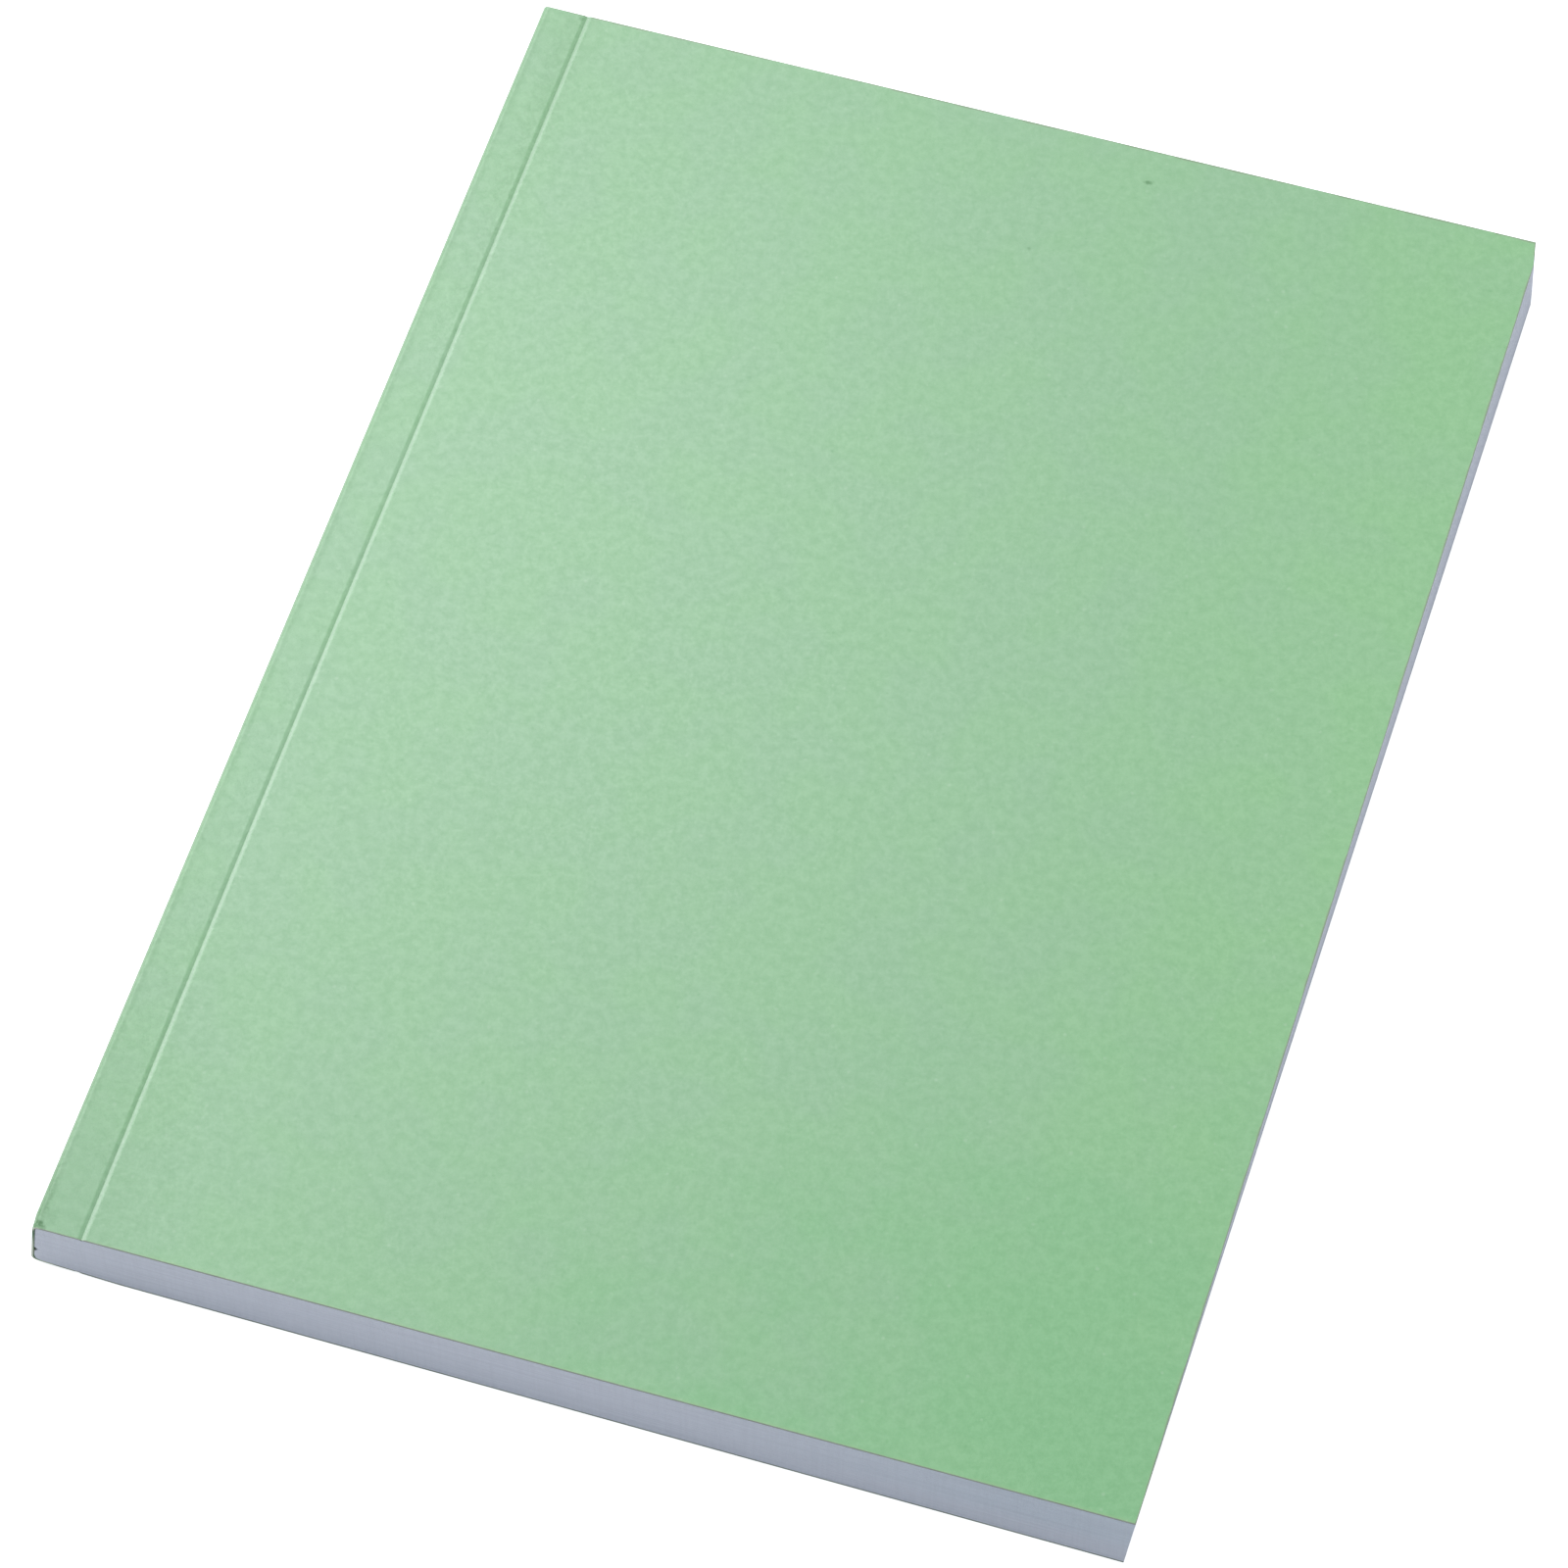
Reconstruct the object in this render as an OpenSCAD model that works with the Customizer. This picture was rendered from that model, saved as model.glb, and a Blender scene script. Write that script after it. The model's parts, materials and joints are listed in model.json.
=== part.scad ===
// Softcover notebook, perfect bound: a stack of leaves glued by its spine edge into one folded card.
// The closed notebook lies on its back cover. +X runs from the spine to the fore-edge, +Y from
// the tail to the head, +Z up. The origin is the middle of the back cover's underside.

/* [Cover] */
// Width of the closed notebook, from the spine fold to the fore-edge (mm)
cover_w = 145; // [90:1:230]
// Height of the closed notebook, from the tail to the head (mm)
cover_h = 210; // [120:1:320]
// Thickness of the cover card (mm)
card_t = 0.3; // [0.25:0.05:0.6]
// Radius of the inside of the two folds along the spine (mm)
fold_in_r = 0.4; // [0.1:0.05:1]

/* [Hinge scores] */
// Distance from the spine fold to the bottom of each pressed hinge score (mm)
score_from_spine = 6.25; // [4:0.25:12]
// Width of a hinge score across its two slopes (mm)
score_w = 1.6; // [0.6:0.1:3]
// Card left under the bottom of a hinge score (mm)
score_floor_t = 0.1; // [0.05:0.05:0.2]

/* [Leaves] */
// Number of leaves
leaves = 93; // [60:1:250]
// Thickness of one leaf (mm)
leaf_t = 0.1; // [0.08:0.01:0.2]

/* [Binding] */
// Thickness of the adhesive between the leaves' spine edges and the card (mm)
glue_t = 0.15; // [0.1:0.05:1]
// Length left dry at the head and at the tail of the spine (mm)
glue_end_gap = 1.2; // [0.2:0.1:5]

/* [Set of the block] */
// How far the stack leans towards the fore-edge from back to front (mm)
lean = 0.4; // [0:0.1:2]
// Angle by which the back cover lies turned under the front cover, clockwise from above (degrees)
rack = 0.35; // [0:0.05:1]

/* [Hidden] */
card_colour = "#a2ceaa";
paper_colour = "#eceef2";
glue_colour = "#e6dcc0";
// Segments in the quarter circle of a fold
fold_steps = 6;
// Layers between the folds, which carry the turn from the back cover up to the front one
stack_steps = 8;
block_t = leaves * leaf_t;
total_t = block_t + 2 * card_t;
spine_x = -cover_w / 2;
fore_x = cover_w / 2;
score_x = spine_x + score_from_spine;
score_half = score_w / 2;
score_depth = card_t - score_floor_t;
fold_out_r = fold_in_r + card_t;
fold_centre_x = spine_x + fold_out_r;

// Share of the way from the back cover, 0, to the front cover, 1, at a height in the stack
function share_up(z) = min(max((z - card_t) / block_t, 0), 1);

// A point of the square notebook, moved to where the lean and the turn of the stack put it
function racked(x, y, z) =
    let (up = share_up(z), turn = -rack * (1 - up))
    [x * cos(turn) - y * sin(turn) + lean * up, x * sin(turn) + y * cos(turn), z];

// One turn of the section round the spine at radius r, from the back cover to the front cover
function spine_line(r) = concat(
    [for (i = [0:fold_steps])
        let (a = 270 - 90 * i / fold_steps)
        [fold_centre_x + r * cos(a), fold_out_r + r * sin(a)]],
    [for (i = [1:stack_steps - 1])
        [fold_centre_x - r, fold_out_r + (total_t - 2 * fold_out_r) * i / stack_steps]],
    [for (i = [0:fold_steps])
        let (a = 180 - 90 * i / fold_steps)
        [fold_centre_x + r * cos(a), total_t - fold_out_r + r * sin(a)]]);

// The same line moved by dx towards the fore-edge
function moved(line, dx) = [for (p = line) [p.x + dx, p.y]];

// Solid between two lines of the section with as many points each, listed from the back cover to
// the front cover: near is the line on the spine side and far the one on the fore-edge side
module racked_solid(near, far, length) {
    n = len(near);
    points = [for (y = [-length / 2, length / 2])
        for (i = [0:n - 1])
            for (p = [near[i], far[i]])
                racked(p.x, y, p.y)];
    head = 2 * n;
    last = 2 * n - 2;
    tail_faces = [for (i = [0:n - 2]) [2 * i, 2 * i + 2, 2 * i + 3, 2 * i + 1]];
    head_faces = [for (i = [0:n - 2]) [for (k = [0, 1, 3, 2]) head + 2 * i + k]];
    near_faces = [for (i = [0:n - 2]) [2 * i, head + 2 * i, head + 2 * i + 2, 2 * i + 2]];
    far_faces = [for (i = [0:n - 2]) [2 * i + 1, 2 * i + 3, head + 2 * i + 3, head + 2 * i + 1]];
    back_end = [0, 1, head + 1, head];
    front_end = [last, head + last, head + last + 1, last + 1];
    polyhedron(
        points = points,
        faces = concat(tail_faces, head_faces, near_faces, far_faces, [back_end, front_end]),
        convexity = 4);
}

// Section of a cover panel: x against the depth below the panel's outer face
panel_section = [
    [score_x, score_depth],
    [score_x + score_half, 0],
    [fore_x, 0],
    [fore_x, card_t],
    [score_x, card_t]];

// A section in x and z drawn out along the height of the notebook
module along_spine(section) {
    rotate([90, 0, 0])
        linear_extrude(height = cover_h, center = true)
            polygon(section);
}

// Front cover, from its hinge score to the fore-edge
module front_cover() {
    color(card_colour)
        translate([lean, 0, 0])
            along_spine([for (p = panel_section) [p.x, total_t - p.y]]);
}

// Back cover, from its hinge score to the fore-edge
module back_cover() {
    color(card_colour)
        rotate([0, 0, -rack])
            along_spine(panel_section);
}

// The card round the spine with the strip on each side, up to the hinge scores
module spine_wrap() {
    outer = concat(
        [[score_x, score_depth], [score_x - score_half, 0]],
        spine_line(fold_out_r),
        [[score_x - score_half, total_t], [score_x, total_t - score_depth]]);
    inner = concat(
        [[score_x, card_t], [score_x - score_half, card_t]],
        spine_line(fold_in_r),
        [[score_x - score_half, total_t - card_t], [score_x, total_t - card_t]]);
    color(card_colour)
        racked_solid(outer, inner, cover_h);
}

// The leaves, as one stack trimmed flush with the covers, its spine edge rounded to the folds
module page_block() {
    spine_edge = moved(spine_line(fold_in_r), glue_t);
    fore_edge = [for (p = spine_edge) [fore_x, p.y]];
    color(paper_colour)
        racked_solid(spine_edge, fore_edge, cover_h);
}

// The adhesive that fills the spine between the card and the leaves
module spine_glue() {
    card_side = spine_line(fold_in_r);
    color(glue_colour)
        racked_solid(card_side, moved(card_side, glue_t), cover_h - 2 * glue_end_gap);
}

front_cover();
back_cover();
spine_wrap();
page_block();
spine_glue();
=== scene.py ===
"""Softcover notebook, perfect bound: the card cover, the stack of leaves, the adhesive and the studio."""

import json
import math
import random

import bmesh
import bpy
from bpy.props import FloatProperty, FloatVectorProperty, PointerProperty
from bpy.types import Operator, Panel, PropertyGroup
from mathutils import Matrix, Vector
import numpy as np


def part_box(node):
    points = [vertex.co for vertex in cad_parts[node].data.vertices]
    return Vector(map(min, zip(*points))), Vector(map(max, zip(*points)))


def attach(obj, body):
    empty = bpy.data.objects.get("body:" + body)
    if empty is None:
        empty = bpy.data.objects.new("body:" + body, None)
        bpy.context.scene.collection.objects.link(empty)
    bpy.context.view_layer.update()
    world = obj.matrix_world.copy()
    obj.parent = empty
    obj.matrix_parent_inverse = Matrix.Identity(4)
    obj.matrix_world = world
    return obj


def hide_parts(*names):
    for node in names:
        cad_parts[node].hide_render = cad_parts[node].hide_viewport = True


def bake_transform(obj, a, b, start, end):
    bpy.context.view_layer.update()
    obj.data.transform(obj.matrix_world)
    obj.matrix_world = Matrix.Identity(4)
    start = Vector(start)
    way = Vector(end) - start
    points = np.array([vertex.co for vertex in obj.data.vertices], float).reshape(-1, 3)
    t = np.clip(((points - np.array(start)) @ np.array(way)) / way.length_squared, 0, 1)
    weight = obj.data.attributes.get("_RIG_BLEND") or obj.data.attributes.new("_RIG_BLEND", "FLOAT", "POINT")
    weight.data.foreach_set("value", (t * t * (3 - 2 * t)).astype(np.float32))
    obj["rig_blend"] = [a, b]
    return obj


bl_info = {
    "name": "Softcover Notebook",
    "version": (1, 0, 0),
    "blender": (4, 5, 0),
    "location": "3D Viewport > Sidebar > Notebook",
    "description": "A perfect-bound softcover notebook whose covers open on pressed hinge scores",
    "category": "Object",
}

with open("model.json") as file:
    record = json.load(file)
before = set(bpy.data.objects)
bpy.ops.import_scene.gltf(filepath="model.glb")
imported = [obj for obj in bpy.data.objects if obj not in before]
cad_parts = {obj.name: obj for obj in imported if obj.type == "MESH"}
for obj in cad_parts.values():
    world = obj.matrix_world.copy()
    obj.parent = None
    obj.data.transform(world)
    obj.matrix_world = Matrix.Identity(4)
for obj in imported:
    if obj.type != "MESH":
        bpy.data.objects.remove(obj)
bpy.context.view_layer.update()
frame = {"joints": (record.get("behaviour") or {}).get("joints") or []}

# Sizes and places that the frame gives, in metres, with the notebook taken as a square block
HINGES = {joint["name"]: joint for joint in frame["joints"]}
FRONT_PIVOT = Vector(HINGES["front_cover_hinge"]["pos_m"])
BACK_PIVOT = Vector(HINGES["back_cover_hinge"]["pos_m"])
BACK_AXIS = Vector(HINGES["back_cover_hinge"]["axis"])
FRONT_LOW, FRONT_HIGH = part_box("front_cover")
CARD_T = FRONT_HIGH.z - FRONT_LOW.z
TOTAL_T = FRONT_HIGH.z
BLOCK_T = TOTAL_T - 2 * CARD_T
HALF_H = FRONT_HIGH.y
SCORE_X = -BACK_PIVOT.to_2d().length
LEAN = FRONT_PIVOT.x - SCORE_X
FORE_X = FRONT_HIGH.x - LEAN
SPINE_X = -FORE_X
# Angle by which the back cover lies turned under the front one
RACK = math.atan2(BACK_AXIS.x, BACK_AXIS.y)

# Fineness of the meshes
PANEL_COLUMNS = 24
PANEL_ROWS = 52
SCORE_COLUMNS = 8
STRIP_COLUMNS = 3
FOLD_STEPS = 10
SPINE_STEPS = 12
BEND_STEPS = 6
# A point counts as lying on a line or in a plane within this distance
NEAR = 0.00001
# Distance from the spine to the seam between the two meshes of the card, under the back strip
SEAM_FROM_SPINE = 0.003
SEAM_X = SPINE_X + SEAM_FROM_SPINE
# Share of a score's width that its slopes take, and the powers of the curves by which they steepen
# towards its bottom, by side
SCORE_SLOPES = 0.75
STRIP_SIDE_CUSP = 2.0
PANEL_SIDE_CUSP = 1.25
# Width of the narrow faces beside folds and scores, which keep the flat card's shading flat
HOLD = 0.00015
# How far the back strip is bent up at the spine, how far from the spine that starts, and its curve
BEND_UP = 0.00063
BEND_REACH = 0.012
BEND_CURVE = 1.05
# How far the front strip is pressed out beyond a square fold, and how far from the tail that starts
PRESSED_OUT = 0.00026
PRESSED_FROM_TAIL = 0.0022
# The front score strays from the line beside the spine: how far from the tail that starts, how far it
# gets at the tail, its curve, and how wide a stretch of the card goes with it
STRAY_FROM_TAIL = 0.085
STRAY = 0.00033
STRAY_CURVE = 1.5
STRAY_REACH = 0.003
# The knocked corner: how far it reaches down the fore-edge at the back and the front cover, how
# far in from the fore-edge, and the share of the knock that the back cover took
KNOCK_REACH_BACK = 0.0027
KNOCK_REACH_FRONT = 0.004
KNOCK_INWARD = 0.005
KNOCK_AT_BACK = 0.68
# The void in the adhesive: its height and half height, as shares of the stack, and its depth
VOID_AT = 0.32
VOID_REACH = 0.062
VOID_DEPTH = 0.00042
# How wide the gap inside the back fold is, and the share of the stack where it closes
FOLD_GAP = 0.00022
FOLD_GAP_REACH = 0.13
# How far the adhesive stops short of the card's ends below the void, as a share of the gap above it
GAP_BELOW_VOID = 0.1
# Angle from which an edge of the card counts as cut, and those up to which surfaces are shaded smooth
CUT_ANGLE = math.radians(60)
CARD_SMOOTH = math.radians(30)
ADHESIVE_SMOOTH = math.radians(40)


class NotebookSizes(PropertyGroup):
    """Sizes of the notebook that the frame doesn't give."""

    front_fold: FloatProperty(
        name="Front Fold Radius",
        description="Outer radius of the fold between the spine and the front cover",
        default=0.0008,
        unit="LENGTH",
    )
    back_fold: FloatProperty(
        name="Back Fold Radius",
        description="Outer radius of the fold between the spine and the back cover",
        default=0.0009,
        unit="LENGTH",
    )
    score_width: FloatProperty(
        name="Score Width",
        description="Width of a pressed hinge score across its two slopes",
        default=0.0016,
        unit="LENGTH",
    )
    score_depth: FloatProperty(
        name="Score Depth",
        description="Depth of a pressed hinge score",
        default=0.0002,
        unit="LENGTH",
    )
    strip_dip: FloatProperty(
        name="Strip Dip",
        description="How far the strip between the spine and the score sinks towards the score",
        default=0.00005,
        unit="LENGTH",
    )
    leaf_thickness: FloatProperty(
        name="Leaf Thickness",
        description="Thickness of one leaf",
        default=0.0001,
        unit="LENGTH",
    )
    adhesive_thickness: FloatProperty(
        name="Adhesive Thickness",
        description="Width between the leaves' spine edges and the card",
        default=0.0001,
        unit="LENGTH",
    )
    corner_knock: FloatProperty(
        name="Corner Knock",
        description="How far the head corner at the fore-edge is pushed in",
        default=0.00065,
        unit="LENGTH",
    )
    adhesive_gap: FloatProperty(
        name="Adhesive End Gap",
        description="How far the adhesive stops short of the head and the tail",
        default=0.0012,
        unit="LENGTH",
    )
    rim_bevel: FloatProperty(
        name="Rim Bevel",
        description="Width of the burnished bevel along the card's cut edges",
        default=0.00003,
        unit="LENGTH",
    )


class NotebookColours(PropertyGroup):
    """Colours of the notebook."""

    card: FloatVectorProperty(
        name="Card",
        description="Colour of the cover card",
        subtype="COLOR",
        default=(0.337, 0.566, 0.318),
        min=0,
        max=1,
    )
    card_clouds: FloatVectorProperty(
        name="Card, Clouds",
        description="How the denser clouds of the pulp shade the cover card's colour",
        subtype="COLOR",
        default=(0.843, 0.905, 0.85),
        min=0,
        max=1,
    )
    # Also the colour of the painted shade towards the fore-edge, where less sheen falls
    card_warm: FloatVectorProperty(
        name="Card, Warm",
        description="Colour of the yellower patches of the cover card",
        subtype="COLOR",
        default=(0.321, 0.591, 0.284),
        min=0,
        max=1,
    )
    # Partly finger marks, partly painted shade where less sheen falls towards the tail corner at the
    # fore-edge
    card_handled: FloatVectorProperty(
        name="Card, Handled",
        description="Colour of the cover card where fingers have darkened it",
        subtype="COLOR",
        default=(0.285, 0.569, 0.269),
        min=0,
        max=1,
    )
    card_cut: FloatVectorProperty(
        name="Card, Cut Edge",
        description="Colour of the cover card's cut edges",
        subtype="COLOR",
        default=(0.42, 0.457, 0.346),
        min=0,
        max=1,
    )
    # Painted shadow of the gap between the card and the leaves, on the inner side of the card's cut edges
    card_cut_deep: FloatVectorProperty(
        name="Card, Cut Edge, Inner",
        description="Colour of the inner side of the card's cut edges",
        subtype="COLOR",
        default=(0.06, 0.08, 0.06),
        min=0,
        max=1,
    )
    card_worn: FloatVectorProperty(
        name="Card, Worn",
        description="Colour of the card where its folds are rubbed",
        subtype="COLOR",
        default=(0.4, 0.55, 0.36),
        min=0,
        max=1,
    )
    card_soiled: FloatVectorProperty(
        name="Card, Soiled",
        description="Colour of the card beside its folds, where fingers have soiled it",
        subtype="COLOR",
        default=(0.2, 0.33, 0.18),
        min=0,
        max=1,
    )
    card_fibre: FloatVectorProperty(
        name="Card, Frayed",
        description="Colour of the frayed fibres of the cut edge round the spine",
        subtype="COLOR",
        default=(0.62, 0.65, 0.5),
        min=0,
        max=1,
    )
    # Also the colour of the broad painted shade on the front cover
    smudge: FloatVectorProperty(
        name="Smudge",
        description="Colour of the dark spots on the cover",
        subtype="COLOR",
        default=(0.05, 0.19, 0.045),
        min=0,
        max=1,
    )
    leaf: FloatVectorProperty(
        name="Leaf",
        description="Colour of the leaves",
        subtype="COLOR",
        default=(0.754, 0.773, 0.803),
        min=0,
        max=1,
    )
    adhesive: FloatVectorProperty(
        name="Adhesive",
        description="Colour of the adhesive in the spine",
        subtype="COLOR",
        default=(0.42, 0.36, 0.2),
        min=0,
        max=1,
    )
    floor: FloatVectorProperty(
        name="Floor",
        description="Colour of the studio floor",
        subtype="COLOR",
        default=(0.9, 0.9, 0.9),
        min=0,
        max=1,
    )


class StudioSettings(PropertyGroup):
    """Strengths of the studio's lights."""

    key_power: FloatProperty(
        name="Key Power",
        description="Power of the softbox behind the spine and the head",
        default=20.7,
        unit="POWER",
    )
    head_fill_power: FloatProperty(
        name="Head Fill Power",
        description="Power of the small softbox behind the head",
        default=2.5,
        unit="POWER",
    )
    spine_fill_power: FloatProperty(
        name="Spine Fill Power",
        description="Power of the small softbox beside the spine",
        default=4.0,
        unit="POWER",
    )
    room_strength: FloatProperty(
        name="Room Strength",
        description="Brightness of the pale room round the notebook",
        default=0.472,
    )


def share_up(z):
    """Share of the way from the back cover, 0, to the front cover, 1, at a height in the stack."""
    return min(max((z - CARD_T) / BLOCK_T, 0), 1)


def bent_up(x):
    """How far the bend of the back strip lifts the underside, which starts near the back score."""
    share = 1 - (x - SPINE_X) / BEND_REACH
    return BEND_UP * max(share, 0) ** BEND_CURVE


def pressed_out(sizes, point, up):
    """How far the front strip is pressed out over the spine, which fades at the tail."""
    strip = SCORE_X - sizes.score_width / 2 - SPINE_X
    share = max(1 - (point.x - SPINE_X) / strip, 0)
    return PRESSED_OUT * share * up * min((point.y + HALF_H) / PRESSED_FROM_TAIL, 1)


def strayed(point, up):
    """How far the front score has strayed towards the fore-edge at a point."""
    along = max(1 - (point.y + HALF_H) / STRAY_FROM_TAIL, 0)
    beside = min(max(STRAY_REACH - abs(point.x - SCORE_X), 0) / (STRAY_REACH / 2), 1)
    return STRAY * up * beside * along**STRAY_CURVE


def knocked_in(sizes, point, up):
    """How far the knock at the head corner has pushed a point back from the fore-edge."""
    reach = KNOCK_REACH_BACK + (KNOCK_REACH_FRONT - KNOCK_REACH_BACK) * up
    along = max(1 - (HALF_H - point.y) / reach, 0)
    inward = max(1 - (FORE_X - point.x) / KNOCK_INWARD, 0)
    return sizes.corner_knock * (KNOCK_AT_BACK + (1 - KNOCK_AT_BACK) * up) * along * inward


def set_in_place(sizes, point):
    """Where the lean, the turn, the bends and the knock put a point of the square notebook."""
    up = share_up(point.z)
    back = knocked_in(sizes, point, up) + pressed_out(sizes, point, up) - strayed(point, up)
    square = point - Vector((back, 0, 0))
    turned = Matrix.Rotation(-RACK * (1 - up), 3, "Z") @ square
    return turned + Vector((LEAN * up, 0, bent_up(point.x) * (1 - up)))


def only(piece):
    """Makes the piece the only selected one, and the active one."""
    bpy.ops.object.select_all(action="DESELECT")
    piece.select_set(True)
    bpy.context.view_layer.objects.active = piece


def new_piece(name):
    """Names the object that was just made, and moves its place and size into its mesh."""
    piece = bpy.context.object
    piece.name = name
    piece.data.name = name
    only(piece)
    bpy.ops.object.transform_apply(location=True, rotation=True, scale=True)
    return piece


def pick(piece, test):
    """Selects, in edit mode, the points that pass the test, with what lies between them."""
    bpy.ops.mesh.select_mode(type="VERT")
    bpy.ops.mesh.select_all(action="DESELECT")
    mesh = bmesh.from_edit_mesh(piece.data)
    for point in mesh.verts:
        point.select_set(bool(test(point.co)))
    mesh.select_flush(True)
    bmesh.update_edit_mesh(piece.data)


def pull(dx, dz):
    """Extrudes the selected edges by one step along the card's section."""
    bpy.ops.mesh.extrude_region_move(TRANSFORM_OT_translate={"value": (dx, 0, dz)})


def pull_score(sizes, up):
    """Draws the section across a pressed score, from the panel to the strip beside the spine."""

    def depth(share):
        down = max(1 - abs(share) / SCORE_SLOPES, 0)
        if share < 0:
            return sizes.score_depth * down**PANEL_SIDE_CUSP
        return sizes.strip_dip + (sizes.score_depth - sizes.strip_dip) * down**STRIP_SIDE_CUSP

    shares = [i / SCORE_COLUMNS for i in range(-SCORE_COLUMNS, SCORE_COLUMNS + 1)]
    for near, far in zip(shares, shares[1:]):
        pull(-(far - near) * sizes.score_width / 2, up * (depth(near) - depth(far)))


def pull_straight(dx, dz, steps):
    """Draws the section straight on, in equal steps between a narrow one at each end."""
    hold = HOLD / math.hypot(dx, dz)
    for share in (hold, *[(1 - 2 * hold) / steps] * steps, hold):
        pull(dx * share, dz * share)


def cut_across(at, normal):
    """Cuts the whole piece, in edit mode, along a plane."""
    bpy.ops.mesh.select_all(action="SELECT")
    bpy.ops.mesh.bisect(plane_co=at, plane_no=normal)


def cut_for_bend():
    """Cuts the piece across where the back strip bends, so that it can follow the bend."""
    for step in range(1, BEND_STEPS + 1):
        cut_across((SPINE_X + BEND_REACH * step / BEND_STEPS, 0, 0), (1, 0, 0))


def cut_for_ends():
    """Cuts the piece across where it starts to change towards the head and towards the tail."""
    for y in (HALF_H - KNOCK_REACH_BACK, HALF_H - KNOCK_REACH_FRONT, PRESSED_FROM_TAIL - HALF_H):
        cut_across((0, y, 0), (0, 1, 0))


def start_panel(name, sizes, z):
    """A cover panel's outer face, in edit mode with its edge at the score selected."""
    near = SCORE_X + sizes.score_width / 2
    bpy.ops.mesh.primitive_grid_add(
        x_subdivisions=PANEL_COLUMNS,
        y_subdivisions=PANEL_ROWS,
        size=1,
        location=((near + FORE_X) / 2, 0, z),
    )
    bpy.context.object.scale = (FORE_X - near, 2 * HALF_H, 1)
    piece = new_piece(name)
    bpy.ops.object.mode_set(mode="EDIT")
    cut_for_ends()
    cut_across((near + HOLD, 0, 0), (1, 0, 0))
    pick(piece, lambda point: point.x < near + NEAR)
    return piece


def face_outwards(piece, up):
    """Turns the sheet's faces so that its panel's outer face looks up, or down for the back cover."""
    bpy.ops.mesh.select_all(action="SELECT")
    bpy.ops.mesh.remove_doubles(threshold=NEAR / 10)
    bpy.ops.mesh.normals_make_consistent(inside=False)
    bpy.ops.object.mode_set(mode="OBJECT")
    panel = max(piece.data.polygons, key=lambda face: face.center.x)
    if panel.normal.z * up < 0:
        bpy.ops.object.mode_set(mode="EDIT")
        bpy.ops.mesh.select_all(action="SELECT")
        bpy.ops.mesh.flip_normals()
        bpy.ops.object.mode_set(mode="OBJECT")


def thicken(piece, **settings):
    """Makes a sheet solid by a Solidify modifier with these settings."""
    bpy.ops.object.modifier_add(type="SOLIDIFY")
    solidify = piece.modifiers[-1]
    for name, value in settings.items():
        setattr(solidify, name, value)
    bpy.ops.object.modifier_apply(modifier=solidify.name)


def give_thickness(piece, sizes, up):
    """Gives the sheet the card's thickness, level inside under the score and the dipped strip."""
    thicken(
        piece, thickness=CARD_T, offset=-1, use_even_offset=True, use_rim=True, material_offset_rim=1
    )
    inside = TOTAL_T - CARD_T if up > 0 else CARD_T
    reach = sizes.score_depth + NEAR
    strip_start = SPINE_X + fold_radius_at(sizes, inside)

    def sunk(point):
        past = (inside - point.z) * up
        return NEAR < past < reach and strip_start < point.x < SCORE_X + sizes.score_width

    bpy.ops.object.mode_set(mode="EDIT")
    pick(piece, sunk)
    bpy.ops.transform.resize(value=(1, 1, 0), center_override=(0, 0, inside))


def bevel_rims(piece, sizes):
    """Burnishes the cut edges with a narrow bevel, in edit mode, and leaves the seam sharp."""
    bpy.ops.mesh.select_mode(type="EDGE")
    bpy.ops.mesh.select_all(action="DESELECT")
    bpy.ops.mesh.edges_select_sharp(sharpness=CUT_ANGLE)
    mesh = bmesh.from_edit_mesh(piece.data)
    for edge in mesh.edges:
        on_seam = all(abs(end.co.x - SEAM_X) < NEAR and end.co.z < TOTAL_T / 2 for end in edge.verts)
        if on_seam:
            edge.select_set(False)
    bmesh.update_edit_mesh(piece.data)
    bpy.ops.mesh.bevel(offset=sizes.rim_bevel, segments=1, affect="EDGES", clamp_overlap=True)
    bpy.ops.mesh.select_all(action="DESELECT")
    bpy.ops.object.mode_set(mode="OBJECT")


def fold_radius_at(sizes, z):
    """Radius of the spine fold on the side of the notebook where a height lies."""
    return sizes.front_fold if z > TOTAL_T / 2 else sizes.back_fold


def section_place(sizes, point):
    """How deep under the card's outer face a point lies, and its share of the turn to the spine."""
    radius = fold_radius_at(sizes, point.z)
    out_x = SPINE_X + radius - point.x
    out_z = abs(point.z - TOTAL_T / 2) - (TOTAL_T / 2 - radius)
    if out_x > 0 and out_z > 0:
        return radius - math.hypot(out_x, out_z), math.atan2(out_x, out_z) / (math.pi / 2)
    if out_x > 0:
        return point.x - SPINE_X, 1
    return min(point.z, TOTAL_T - point.z), 0


def mark_card(piece, sizes):
    """Stores what the card's finish follows: the place in the flat card, the depth and the folds."""
    marks = piece.data.attributes
    for name, kind in (("card_place", "FLOAT_VECTOR"), ("card_depth", "FLOAT"), ("fold_turn", "FLOAT")):
        marks.new(name, kind, "POINT")
    for point in piece.data.vertices:
        depth, turn = section_place(sizes, point.co)
        marks["card_place"].data[point.index].vector = point.co
        marks["card_depth"].data[point.index].value = depth / CARD_T
        marks["fold_turn"].data[point.index].value = turn


def settle(piece, sizes):
    """Moves every point of the square notebook to its place in the stack."""
    for point in piece.data.vertices:
        point.co = set_in_place(sizes, point.co)
    piece.data.update()


def card_inside_x(sizes, z):
    """Where the inside of the card lies at the spine at a height, which rounds off at the folds."""
    radius = fold_radius_at(sizes, z)
    over = max(abs(z - TOTAL_T / 2) - (TOTAL_T / 2 - radius), 0)
    return SPINE_X + radius - math.sqrt(max((radius - CARD_T) ** 2 - over**2, 0))


def void_depth(share):
    """How much further back from the card a leaf ends beside the void and inside the back fold."""
    off = abs(share - VOID_AT) / VOID_REACH
    return VOID_DEPTH * max(1 - off**2, 0) + FOLD_GAP * max(1 - share / FOLD_GAP_REACH, 0)


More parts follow.
